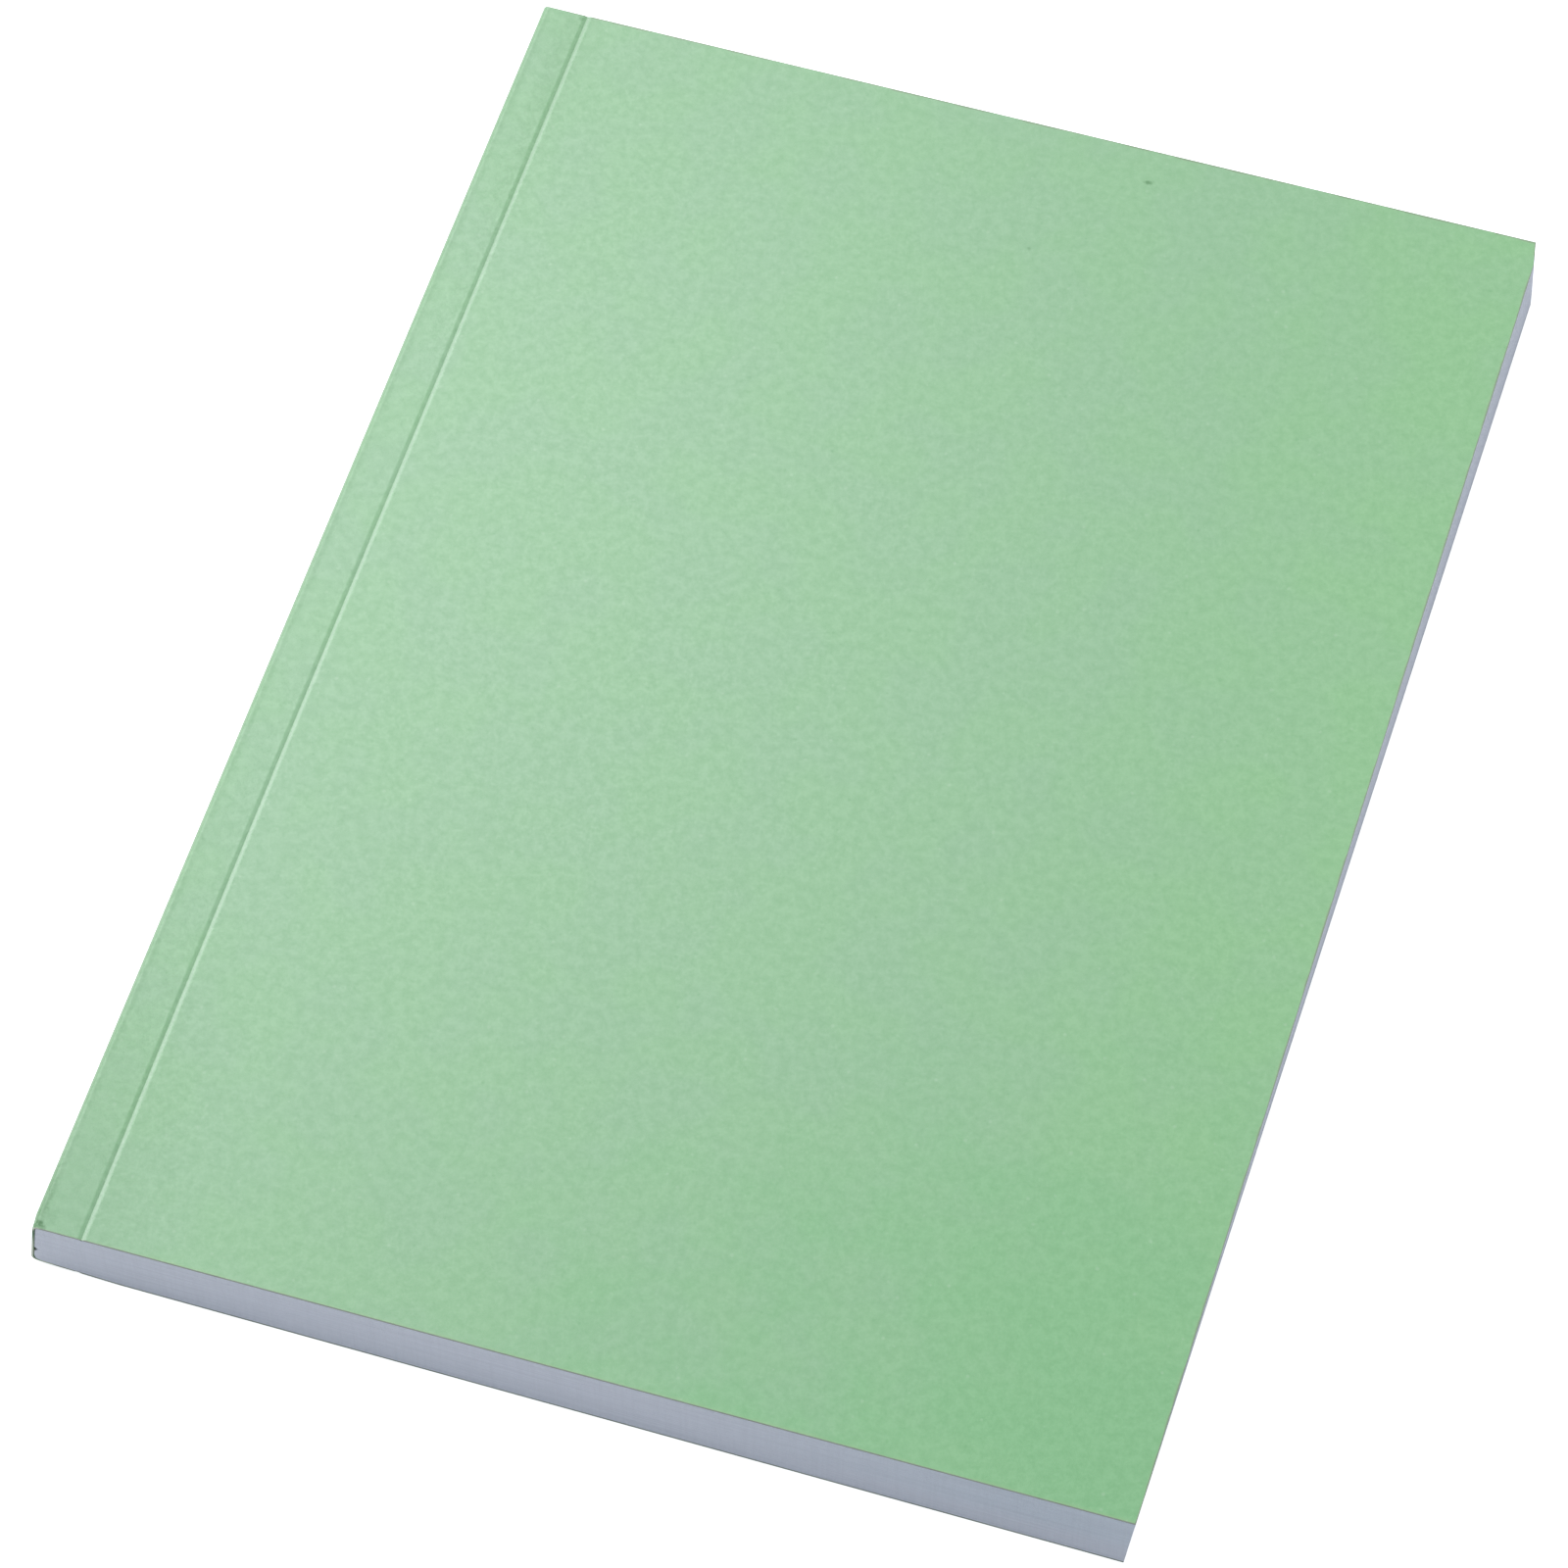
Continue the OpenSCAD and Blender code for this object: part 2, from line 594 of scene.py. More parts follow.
def end_gap(sizes, share):
    """How far the adhesive stops short of the card's ends, where less was pressed out above the void."""
    above = min(max((share - VOID_AT) / VOID_REACH, -1), 1)
    at_void = (1 + GAP_BELOW_VOID) / 2
    return sizes.adhesive_gap * (at_void + (1 - at_void) * above)


def put(tree, kind, inputs=None, **settings):
    """Adds a node, with its own settings, and its inputs given as values or as sockets to link."""
    node = tree.nodes.new(kind)
    for name, value in settings.items():
        setattr(node, name, value)
    for name, value in (inputs or {}).items():
        if isinstance(value, bpy.types.NodeSocket):
            tree.links.new(value, node.inputs[name])
        else:
            node.inputs[name].default_value = value
    return node


def maths(tree, operation, a, b=0.0):
    """The result of a Math node."""
    return put(tree, "ShaderNodeMath", {0: a, 1: b}, operation=operation).outputs[0]


def times(tree, a, b):
    """The product of two values."""
    return maths(tree, "MULTIPLY", a, b)


def fade(tree, value, low, high, to_low=0.0, to_high=1.0):
    """A value carried smoothly from one range to another."""
    ranges = {"Value": value, "From Min": low, "From Max": high, "To Min": to_low, "To Max": to_high}
    return put(tree, "ShaderNodeMapRange", ranges, interpolation_type="SMOOTHSTEP").outputs["Result"]


def tint(tree, share, colour, other, blend_type="MIX"):
    """A colour carried by a share towards another, or towards its product with it."""
    inputs = {0: share}
    for slot, value in ((6, colour), (7, other)):
        inputs[slot] = value if isinstance(value, bpy.types.NodeSocket) else (*value, 1)
    return put(tree, "ShaderNodeMix", inputs, data_type="RGBA", blend_type=blend_type).outputs[2]


def noise(tree, vector, scale, detail=2.0, roughness=0.5):
    """The value of a Noise Texture."""
    inputs = {"Vector": vector, "Scale": scale, "Detail": detail, "Roughness": roughness}
    return put(tree, "ShaderNodeTexNoise", inputs).outputs["Fac"]


def new_group(name, inputs, outputs):
    """An empty shader node group: its inputs are numbers with defaults, or vectors where that is None."""
    tree = bpy.data.node_groups.new(name, "ShaderNodeTree")
    for label, value in inputs.items():
        kind = "NodeSocketVector" if value is None else "NodeSocketFloat"
        socket = tree.interface.new_socket(name=label, in_out="INPUT", socket_type=kind)
        if value is not None:
            socket.default_value = value
    for label in outputs:
        tree.interface.new_socket(name=label, in_out="OUTPUT", socket_type="NodeSocketFloat")
    return tree, tree.nodes.new("NodeGroupInput").outputs, tree.nodes.new("NodeGroupOutput").inputs


def place_group(tree, build, inputs):
    """Places a node group in a material with its own values, and builds it where there is none yet."""
    name = build.__name__.replace("_", " ").title()
    group = bpy.data.node_groups.get(name) or build(name)
    return put(tree, "ShaderNodeGroup", inputs, node_tree=group).outputs


def pulp_clouds(name):
    """Group: the cloudy formation of pressed pulp, with its tooth."""
    inputs = {"Vector": None, "Cloud Scale": 500.0, "Tooth Scale": 3000.0}
    group, given, made = new_group(name, inputs, ["Clouds", "Patches", "Tooth"])
    vector = given["Vector"]
    wide = noise(group, vector, given["Cloud Scale"], 3.0, 0.6)
    fine = noise(group, vector, times(group, given["Cloud Scale"], 3.1), 2.0)
    both = maths(group, "ADD", times(group, wide, 0.6), times(group, fine, 0.4))
    group.links.new(fade(group, both, 0.36, 0.64), made["Clouds"])
    patches = noise(group, vector, times(group, given["Cloud Scale"], 0.12), 2.0)
    group.links.new(fade(group, patches, 0.38, 0.62), made["Patches"])
    group.links.new(noise(group, vector, given["Tooth Scale"], 3.0, 0.6), made["Tooth"])
    return group


def pulp_flecks(name):
    """Group: small flecks strewn through the pulp, in a share of the cells of a grid."""
    inputs = {"Vector": None, "Scale": 300.0, "Share": 0.3, "Size": 0.12}
    group, given, made = new_group(name, inputs, ["Flecks"])
    cells = put(group, "ShaderNodeTexVoronoi", {"Vector": given["Vector"], "Scale": given["Scale"]})
    chance = put(group, "ShaderNodeSeparateColor", {"Color": cells.outputs["Color"]}).outputs
    size = times(group, given["Size"], fade(group, chance["Green"], 0.0, 1.0, 0.5, 1.3))
    far = maths(group, "DIVIDE", cells.outputs["Distance"], size)
    inside = fade(group, far, 1.0, 0.3)
    chosen = maths(group, "LESS_THAN", chance["Red"], given["Share"])
    strength = fade(group, chance["Blue"], 0.0, 1.0, 0.35, 1.0)
    fleck = times(group, times(group, inside, chosen), strength)
    group.links.new(fleck, made["Flecks"])
    return group


def rim_rub(name):
    """Group: a band along the trimmed edges, broken up as by handling, and a dark line along the head and
    fore-edge rims.
    """
    inputs = {"Vector": None, "Fore Edge": FORE_X, "Half Height": HALF_H, "Band": 0.0005, "Line": 0.00018}
    group, given, made = new_group(name, inputs, ["Rub", "Bare"])
    place = put(group, "ShaderNodeSeparateXYZ", {0: given["Vector"]}).outputs
    from_end = maths(group, "SUBTRACT", given["Half Height"], maths(group, "ABSOLUTE", place["Y"]))
    from_fore = maths(group, "SUBTRACT", given["Fore Edge"], place["X"])
    nearest = maths(group, "MINIMUM", from_end, from_fore)
    ragged = fade(group, noise(group, given["Vector"], 260.0, 3.0, 0.6), 0.3, 0.7, 0.3, 1.3)
    reach = times(group, given["Band"], ragged)
    group.links.new(fade(group, maths(group, "DIVIDE", nearest, reach), 1.0, 0.0), made["Rub"])
    line = times(group, given["Line"], ragged)
    from_head = times(group, maths(group, "SUBTRACT", given["Half Height"], place["Y"]), 0.6)
    from_knife = maths(group, "MINIMUM", from_head, from_fore)
    group.links.new(fade(group, maths(group, "DIVIDE", from_knife, line), 1.2, 0.5), made["Bare"])
    return group


def smudge_spot(name):
    """Group: one soft, ragged spot round a place on the cover."""
    inputs = {
        "Vector": None,
        "Centre": None,
        "Length": 0.001,
        "Width": 0.001,
        "Ragged Scale": 1500.0,
        "Raggedness": 0.35,
    }
    group, given, made = new_group(name, inputs, ["Spot"])
    ends = {0: given["Vector"], 1: given["Centre"]}
    away = put(group, "ShaderNodeVectorMath", ends, operation="SUBTRACT")
    parts = put(group, "ShaderNodeSeparateXYZ", {0: away.outputs[0]}).outputs
    across = maths(group, "ABSOLUTE", maths(group, "DIVIDE", parts["X"], given["Length"]))
    along = maths(group, "ABSOLUTE", maths(group, "DIVIDE", parts["Y"], given["Width"]))
    squares = maths(group, "ADD", maths(group, "POWER", across, 2.0), maths(group, "POWER", along, 2.0))
    far = maths(group, "SQRT", squares)
    ragged = fade(group, noise(group, given["Vector"], given["Ragged Scale"], 4.0, 0.6), 0.25, 0.75, -1.0)
    pushed = times(group, ragged, given["Raggedness"])
    group.links.new(fade(group, maths(group, "ADD", far, pushed), 1.0, 0.1), made["Spot"])
    return group


def cut_streaks(name):
    """Group: the layered streaks of a trimmed edge, which run along the sheets."""
    inputs = {"Vector": None, "Along": 60.0, "Across": 9000.0}
    group, given, made = new_group(name, inputs, ["Streaks", "Nicks"])
    along, across = given["Along"], given["Across"]
    stretch = put(group, "ShaderNodeCombineXYZ", {"X": along, "Y": along, "Z": across}).outputs[0]
    sheets = put(group, "ShaderNodeVectorMath", {0: given["Vector"], 1: stretch}, operation="MULTIPLY")
    group.links.new(fade(group, noise(group, sheets.outputs[0], 1.0, 2.0, 0.5), 0.3, 0.7), made["Streaks"])
    marks = {0: given["Vector"], 1: (2600, 2600, 60)}
    knife = put(group, "ShaderNodeVectorMath", marks, operation="MULTIPLY")
    group.links.new(fade(group, noise(group, knife.outputs[0], 1.0, 1.0, 0.5), 0.35, 0.75), made["Nicks"])
    return group


def new_material(name, roughness):
    """A material with its tree, its shader and the piece's own coordinates."""
    material = bpy.data.materials.new(name)
    material.use_nodes = True
    tree = material.node_tree
    shader = tree.nodes["Principled BSDF"]
    shader.inputs["Roughness"].default_value = roughness
    return material, tree, shader, put(tree, "ShaderNodeTexCoord").outputs["Object"]


def bump(tree, shader, height, strength, distance):
    """Drives the shader's normal by a height."""
    inputs = {"Height": height, "Strength": strength, "Distance": distance}
    node = put(tree, "ShaderNodeBump", inputs)
    tree.links.new(node.outputs["Normal"], shader.inputs["Normal"])


# Distance from the spine within which the card is soiled beside its folds, and where that starts
SOILED = 0.0009
SOILED_START = 0.0017
# Distances past the score's bottom between which the painted highlight on its slope is fullest, and where
# that ends
SLOPE_HIGHLIGHT_START = 0.0001
SLOPE_HIGHLIGHT_FULL = 0.0003
SLOPE_HIGHLIGHT_END = 0.0006
# Shares of a fold's turn: where the soiling ends, where the rubbing is full and where that ends
TURN_SOILED = 0.28
TURN_RUBBED = 0.42
TURN_RUBBED_END = 0.93
# Where the painted shade towards the fore-edge starts and where it is fullest: yellower, more saturated card
# where less sheen falls
FORE_SHADE_START = 0.025
FORE_SHADE_FULL = 0.072
# How far from the spine the cut edge is frayed at the front cover, and how much further at the back
FRAYED = 0.0012
FRAYED_MORE = 0.0028
# Shares of the thickness between which the frayed edge grows grubby, and then clean again
GRUBBY = (0.4, 0.8, 0.87, 0.95)
# Painted shade on the leaves' edges at the tail, darker towards the fore-edge and higher up: where it starts
# along the tail, over which heights it grows, and between which distances from the tail it fades
LEAF_END_SHADE_START = 0.005
LEAF_END_SHADE_RISE = (0.0015, 0.006)
LEAF_END_SHADE_ROUND = (0.0003, 0.001)
# Colours of the flecks, the rubbed rim, its dark line, the painted slope highlight and the painted leaf
# shade
PALE_FLECKS = (0.55, 0.72, 0.5)
DARK_FLECKS = (0.45, 0.7, 0.5)
RIM_RUBBED = (0.37, 0.56, 0.27)
RIM_DARK_LINE = (0.25, 0.34, 0.2)
SLOPE_HIGHLIGHT_COLOUR = (0.46, 0.63, 0.43)
LEAF_END_SHADE_COLOUR = (0.89, 0.935, 0.94)
# Dark spots on the front cover: centre in the flat card, length along X, length along Y and strength
COVER_SPOTS = (
    # Broad painted shade beside the spine at the tail and at the head, where less sheen falls
    ((-0.0705, -0.105, TOTAL_T), 0.018, 0.07, 0.12),
    ((-0.0725, 0.105, TOTAL_T), 0.05, 0.075, 0.06),
    # Smudges at the tail end of the spine fold
    ((-0.0716, -0.1032, TOTAL_T), 0.0022, 0.0026, 0.16),
    ((-0.0719, -0.1, TOTAL_T), 0.0009, 0.0075, 0.28),
    ((-0.0719, -0.105, TOTAL_T), 0.0018, 0.0013, 0.4),
    ((-0.0717, -0.1042, TOTAL_T), 0.0009, 0.0006, 0.9),
    # Broad painted shade along the strip at the head, where it dips from the light
    ((-0.067, 0.105, TOTAL_T), 0.0035, 0.07, 0.1),
    # A smudge at the head end of the score, and two dark specks
    ((-0.0669, 0.1043, TOTAL_T), 0.0005, 0.0006, 0.3),
    ((0.0177, 0.0994, TOTAL_T), 0.001, 0.0005, 0.6),
    ((0.005, 0.0832, TOTAL_T), 0.0005, 0.0005, 0.35),
)


def card_material(name, colours, spots):
    """Satin dyed card: clouded, flecked, rubbed along its folds, darkened by handling and by painted shade,
    with a painted highlight on the score's slope.
    """
    material, tree, shader, _ = new_material(name, 0.27)
    place = put(tree, "ShaderNodeAttribute", attribute_name="card_place").outputs["Vector"]
    turn = put(tree, "ShaderNodeAttribute", attribute_name="fold_turn").outputs["Fac"]
    across = put(tree, "ShaderNodeSeparateXYZ", {0: place}).outputs["X"]
    beside = fade(tree, across, SPINE_X + SOILED_START, SPINE_X + SOILED)
    soiled = times(tree, beside, fade(tree, turn, TURN_RUBBED, TURN_SOILED))
    rubbed = fade(tree, turn, TURN_SOILED, TURN_RUBBED)
    rubbed = times(tree, rubbed, fade(tree, turn, 1.0, TURN_RUBBED_END))
    # Painted highlight on the score's slope that faces the key light
    slope_highlight = fade(tree, across, SCORE_X, SCORE_X + SLOPE_HIGHLIGHT_START)
    past = fade(tree, across, SCORE_X + SLOPE_HIGHLIGHT_END, SCORE_X + SLOPE_HIGHLIGHT_FULL)
    slope_highlight = times(tree, slope_highlight, past)
    pulp = place_group(tree, pulp_clouds, {"Vector": place, "Cloud Scale": 720.0, "Tooth Scale": 3800.0})
    pale = {"Vector": place, "Scale": 520.0, "Share": 0.4, "Size": 0.15}
    pale = place_group(tree, pulp_flecks, pale)["Flecks"]
    dark = {"Vector": place, "Scale": 430.0, "Share": 0.4, "Size": 0.13}
    dark = place_group(tree, pulp_flecks, dark)["Flecks"]
    rim = place_group(tree, rim_rub, {"Vector": place})
    # Painted shade: yellower, more saturated card towards the fore-edge where less sheen falls, added to
    # yellower patches at random
    warm_and_shade = fade(tree, across, FORE_SHADE_START, FORE_SHADE_FULL, 0.0, 0.7)
    warm_and_shade = maths(tree, "ADD", warm_and_shade, times(tree, pulp["Patches"], 0.35))
    colour = tint(tree, warm_and_shade, colours.card, colours.card_warm)
    # A broad darkening towards the tail corner at the fore-edge: partly finger marks, partly painted shade
    # where less sheen falls
    handled_and_shade = {
        "Vector": place,
        "Centre": (FORE_X, -HALF_H, TOTAL_T),
        "Length": 0.1,
        "Width": 0.075,
        "Ragged Scale": 60.0,
        "Raggedness": 0.3,
    }
    handled_and_shade = place_group(tree, smudge_spot, handled_and_shade)["Spot"]
    colour = tint(tree, handled_and_shade, colour, colours.card_handled)
    colour = tint(tree, pulp["Clouds"], colour, colours.card_clouds, "MULTIPLY")
    colour = tint(tree, times(tree, pale, 0.6), colour, PALE_FLECKS)
    colour = tint(tree, times(tree, dark, 0.5), colour, DARK_FLECKS, "MULTIPLY")
    colour = tint(tree, times(tree, rim["Rub"], 0.4), colour, RIM_RUBBED)
    # A dark line along the head and fore-edge rims
    colour = tint(tree, times(tree, rim["Bare"], 0.8), colour, RIM_DARK_LINE)
    colour = tint(tree, times(tree, soiled, 0.1), colour, colours.card_soiled)
    colour = tint(tree, times(tree, rubbed, 0.8), colour, colours.card_worn)
    colour = tint(tree, times(tree, slope_highlight, 0.7), colour, SLOPE_HIGHLIGHT_COLOUR)
    for centre, length, width, strength in spots:
        spot = {"Vector": place, "Centre": centre, "Length": length, "Width": width}
        spot = place_group(tree, smudge_spot, spot)["Spot"]
        colour = tint(tree, times(tree, spot, strength), colour, colours.smudge)
    tree.links.new(colour, shader.inputs["Base Color"])
    rough = fade(tree, pulp["Clouds"], 0.0, 1.0, 0.255, 0.285)
    worn = maths(tree, "MAXIMUM", times(tree, soiled, 0.3), rubbed)
    rough = maths(tree, "ADD", rough, times(tree, worn, 0.3))
    tree.links.new(rough, shader.inputs["Roughness"])
    height = maths(tree, "ADD", pulp["Tooth"], times(tree, pulp["Clouds"], 0.6))
    bump(tree, shader, height, 0.1, 0.00002)
    return material


def cut_card_material(name, colours):
    """The card's cut edge: pale and fibrous, with a painted shadow of the gap towards the leaves."""
    material, tree, shader, _ = new_material(name, 0.75)
    place = put(tree, "ShaderNodeAttribute", attribute_name="card_place").outputs["Vector"]
    depth = put(tree, "ShaderNodeAttribute", attribute_name="card_depth").outputs["Fac"]
    fibres = place_group(tree, cut_streaks, {"Vector": place, "Along": 400.0, "Across": 14000.0})["Streaks"]
    pale = tint(tree, fibres, colours.card_cut, tuple(0.8 * part for part in colours.card_cut))
    parts = put(tree, "ShaderNodeSeparateXYZ", {0: place}).outputs
    at_back = maths(tree, "LESS_THAN", parts["Z"], TOTAL_T / 2)
    reach = maths(tree, "ADD", FRAYED, times(tree, at_back, FRAYED_MORE))
    from_spine = maths(tree, "SUBTRACT", parts["X"], SPINE_X)
    frayed = fade(tree, maths(tree, "DIVIDE", from_spine, reach), 1.0, 0.6)
    pale = tint(tree, frayed, pale, colours.card_fibre)
    start, full, fading, end = [share * TOTAL_T for share in GRUBBY]
    grubby = times(tree, frayed, fade(tree, parts["Z"], start, full))
    grubby = times(tree, grubby, fade(tree, parts["Z"], end, fading))
    pale = tint(tree, grubby, pale, tuple(0.6 * part for part in colours.card_soiled))
    # Painted shadow: the cut edge turns dark towards the leaves, where the gap between card and leaves lies
    # in shade
    inner = fade(tree, depth, fade(tree, frayed, 0.0, 1.0, 0.65, 0.9), 1.0)
    tree.links.new(tint(tree, inner, pale, colours.card_cut_deep), shader.inputs["Base Color"])
    bump(tree, shader, fibres, 0.3, 0.00003)
    return material


def leaf_material(name, colours):
    """Plain white writing paper."""
    material, tree, shader, place = new_material(name, 0.85)
    pulp = place_group(tree, pulp_clouds, {"Vector": place, "Cloud Scale": 350.0, "Tooth Scale": 4000.0})
    shade = tuple(0.965 * part for part in colours.leaf)
    tree.links.new(tint(tree, pulp["Clouds"], colours.leaf, shade), shader.inputs["Base Color"])
    bump(tree, shader, pulp["Tooth"], 0.15, 0.00002)
    return material


def leaf_edge_material(name, colours):
    """The trimmed edges of the leaves, with painted shade at the tail towards the fore-edge."""
    material, tree, shader, place = new_material(name, 0.8)
    cut = place_group(tree, cut_streaks, {"Vector": place, "Along": 45.0, "Across": 9000.0})
    shade = tuple(0.9 * part for part in colours.leaf)
    nicked = tuple(0.93 * part for part in shade)
    colour = tint(tree, cut["Streaks"], colours.leaf, shade)
    colour = tint(tree, times(tree, cut["Nicks"], 0.25), colour, nicked)
    parts = put(tree, "ShaderNodeSeparateXYZ", {0: place}).outputs
    # Painted shade: the tail edges darken towards the fore-edge and towards the top
    leaf_end_shade = fade(tree, parts["X"], LEAF_END_SHADE_START, FORE_X)
    near, far = LEAF_END_SHADE_ROUND
    leaf_end_shade = times(tree, leaf_end_shade, fade(tree, parts["Y"], far - HALF_H, near - HALF_H))
    leaf_end_shade = times(tree, leaf_end_shade, fade(tree, parts["Z"], *LEAF_END_SHADE_RISE))
    colour = tint(tree, leaf_end_shade, colour, LEAF_END_SHADE_COLOUR, "MULTIPLY")
    tree.links.new(colour, shader.inputs["Base Color"])
    bump(tree, shader, cut["Streaks"], 0.1, 0.00002)
    return material


def adhesive_material(name, colours):
    """Amber hot-melt adhesive."""
    material, tree, shader, place = new_material(name, 0.35)
    flow = noise(tree, place, 500.0, 3.0, 0.6)
    darker = tuple(0.6 * part for part in colours.adhesive)
    tree.links.new(tint(tree, flow, colours.adhesive, darker), shader.inputs["Base Color"])
    bump(tree, shader, flow, 0.4, 0.0001)
    return material


# How brightly the camera sees the floor glow
FLOOR_GLOW = 0.75


def floor_material(name, colours):
    """A pale floor that shows the camera a high key with only a faint shadow."""
    material, tree, shader, _ = new_material(name, 0.9)
    shader.inputs["Base Color"].default_value = (*colours.floor, 1)
    shader.inputs["Specular IOR Level"].default_value = 0.2
    glow = put(tree, "ShaderNodeEmission", {"Color": (1, 1, 1, 1)})
    seen = put(tree, "ShaderNodeLightPath").outputs["Is Camera Ray"]
    seen = put(tree, "ShaderNodeMix", {0: seen, 3: FLOOR_GLOW})
    tree.links.new(seen.outputs[0], glow.inputs["Strength"])
    both = put(tree, "ShaderNodeAddShader", {0: shader.outputs[0], 1: glow.outputs[0]})
    tree.links.new(both.outputs[0], tree.nodes["Material Output"].inputs["Surface"])
    return material


def finish_card(piece, sizes, colours, up, name, spots):
    """Makes the folded sheet a card with its rims and its finish, and puts it in its place."""
    face_outwards(piece, up)
    piece.data.materials.append(card_material(name, colours, spots))
    piece.data.materials.append(cut_card_material(f"{name}_cut", colours))
    give_thickness(piece, sizes, up)
    bevel_rims(piece, sizes)
    mark_card(piece, sizes)
    settle(piece, sizes)
    bpy.ops.object.shade_smooth_by_angle(angle=CARD_SMOOTH)


class NOTEBOOK_OT_front_card(Operator):
    """Models the card from the front cover's fore-edge round the spine to the seam under the back"""

    bl_idname = "notebook.front_card"
    bl_label = "Front Cover and Spine"

    def execute(self, context):
        sizes, colours = context.scene.notebook_sizes, context.scene.notebook_colours
        up = 1
        piece = start_panel("cover_front", sizes, TOTAL_T)
        pull_score(sizes, up)
        top_x, top_z = SPINE_X + sizes.front_fold, TOTAL_T - sizes.front_fold
        low_x, low_z = SPINE_X + sizes.back_fold, sizes.back_fold
        turn = {"steps": FOLD_STEPS, "angle": math.pi / 2, "axis": (0, 1, 0)}
        pull_straight(top_x - SCORE_X + sizes.score_width / 2, sizes.strip_dip, STRIP_COLUMNS)
        bpy.ops.mesh.spin(center=(top_x, 0, top_z), **turn)
        pull_straight(0, low_z - top_z, SPINE_STEPS)
        bpy.ops.mesh.spin(center=(low_x, 0, low_z), **turn)
        pull_straight(SEAM_X - low_x, 0, STRIP_COLUMNS)
        finish_card(piece, sizes, colours, up, "card_front", COVER_SPOTS)
        half = Vector((sizes.score_width / 2, 0, 0))
        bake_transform(piece, "book_block", "front_panel", start=FRONT_PIVOT - half, end=FRONT_PIVOT + half)
        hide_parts("front_cover", "spine_wrap")
        return {"FINISHED"}


class NOTEBOOK_OT_back_card(Operator):
    """Models the card from the back cover's fore-edge to the seam beside the spine"""

    bl_idname = "notebook.back_card"
    bl_label = "Back Cover"

    def execute(self, context):
        sizes, colours = context.scene.notebook_sizes, context.scene.notebook_colours
        up = -1
        piece = start_panel("cover_back", sizes, 0)
        pull_score(sizes, up)
        pull_straight(SEAM_X - SCORE_X + sizes.score_width / 2, -sizes.strip_dip, STRIP_COLUMNS)
        cut_for_bend()
        finish_card(piece, sizes, colours, up, "card_back", ())
        across = BACK_AXIS.cross(Vector((0, 0, 1))).normalized() * sizes.score_width / 2
        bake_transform(piece, "book_block", "back_panel", start=BACK_PIVOT - across, end=BACK_PIVOT + across)
        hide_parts("back_cover")
        return {"FINISHED"}


class NOTEBOOK_OT_leaves(Operator):
    """Trims one leaf, and stacks its copies between the covers"""

    bl_idname = "notebook.leaves"
    bl_label = "Leaves"

    # Air between two leaves, the width of a leaf's pressed edge and how unevenly the leaves end
    AIR = 0.000004
    EDGE_BEVEL = 0.000012
    UNEVEN = 0.000008
    # A face of a leaf lies flat where its normal is this upright, and is a cut edge elsewhere
    FLAT = 0.9
    SEED = 93

    def execute(self, context):
        sizes, colours = context.scene.notebook_sizes, context.scene.notebook_colours
        count = round(BLOCK_T / sizes.leaf_thickness)
        pitch = BLOCK_T / count
        full_width = FORE_X - SPINE_X
        leaf = self.trim_leaf(full_width, pitch - self.AIR)
        leaf.data.materials.append(leaf_material("leaf_paper", colours))
        leaf.data.materials.append(leaf_edge_material("leaf_cut_edges", colours))
        for face in leaf.data.polygons:
            face.material_index = 0 if abs(face.normal.z) > self.FLAT else 1
        chance = random.Random(self.SEED)
        leaves = []
        for i in range(count):
            only(leaf)
            bpy.ops.object.duplicate(linked=False)
            copy = context.object
            low, high = CARD_T + i * pitch, CARD_T + (i + 1) * pitch
            middle = (low + high) / 2
            near = max(card_inside_x(sizes, low), card_inside_x(sizes, high)) + sizes.adhesive_thickness
            near += void_depth(share_up(middle))
            copy.scale.x = (FORE_X - near) / full_width
            copy.location.x = FORE_X + chance.uniform(-self.UNEVEN, 0) / 2
            copy.location.y = chance.uniform(-self.UNEVEN, self.UNEVEN)
            copy.location.z = middle
            leaves.append(copy)
        bpy.data.objects.remove(leaf)
        for copy in leaves:
            copy.select_set(True)
        context.view_layer.objects.active = leaves[0]
        bpy.ops.object.join()
        piece = new_piece("leaves")
        settle(piece, sizes)
        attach(piece, "book_block")
        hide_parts("page_block")
        return {"FINISHED"}

    def trim_leaf(self, width, thickness):
        """One leaf, with the middle of its fore-edge at the origin"""
        bpy.ops.object.select_all(action="DESELECT")
        bpy.ops.mesh.primitive_cube_add(
            size=1, location=(-width / 2, 0, 0), scale=(width, 2 * HALF_H, thickness)
        )
        leaf = new_piece("leaf")
        bpy.ops.object.mode_set(mode="EDIT")
        bpy.ops.mesh.select_all(action="SELECT")
        bpy.ops.mesh.bevel(offset=self.EDGE_BEVEL, segments=1, affect="EDGES")
        for step in range(1, BEND_STEPS + 1):
            cut_across((-width + BEND_REACH * step / BEND_STEPS, 0, 0), (1, 0, 0))
        cut_for_ends()
        cut_across((-KNOCK_INWARD, 0, 0), (1, 0, 0))
        bpy.ops.mesh.select_all(action="DESELECT")
        bpy.ops.object.mode_set(mode="OBJECT")
        return leaf


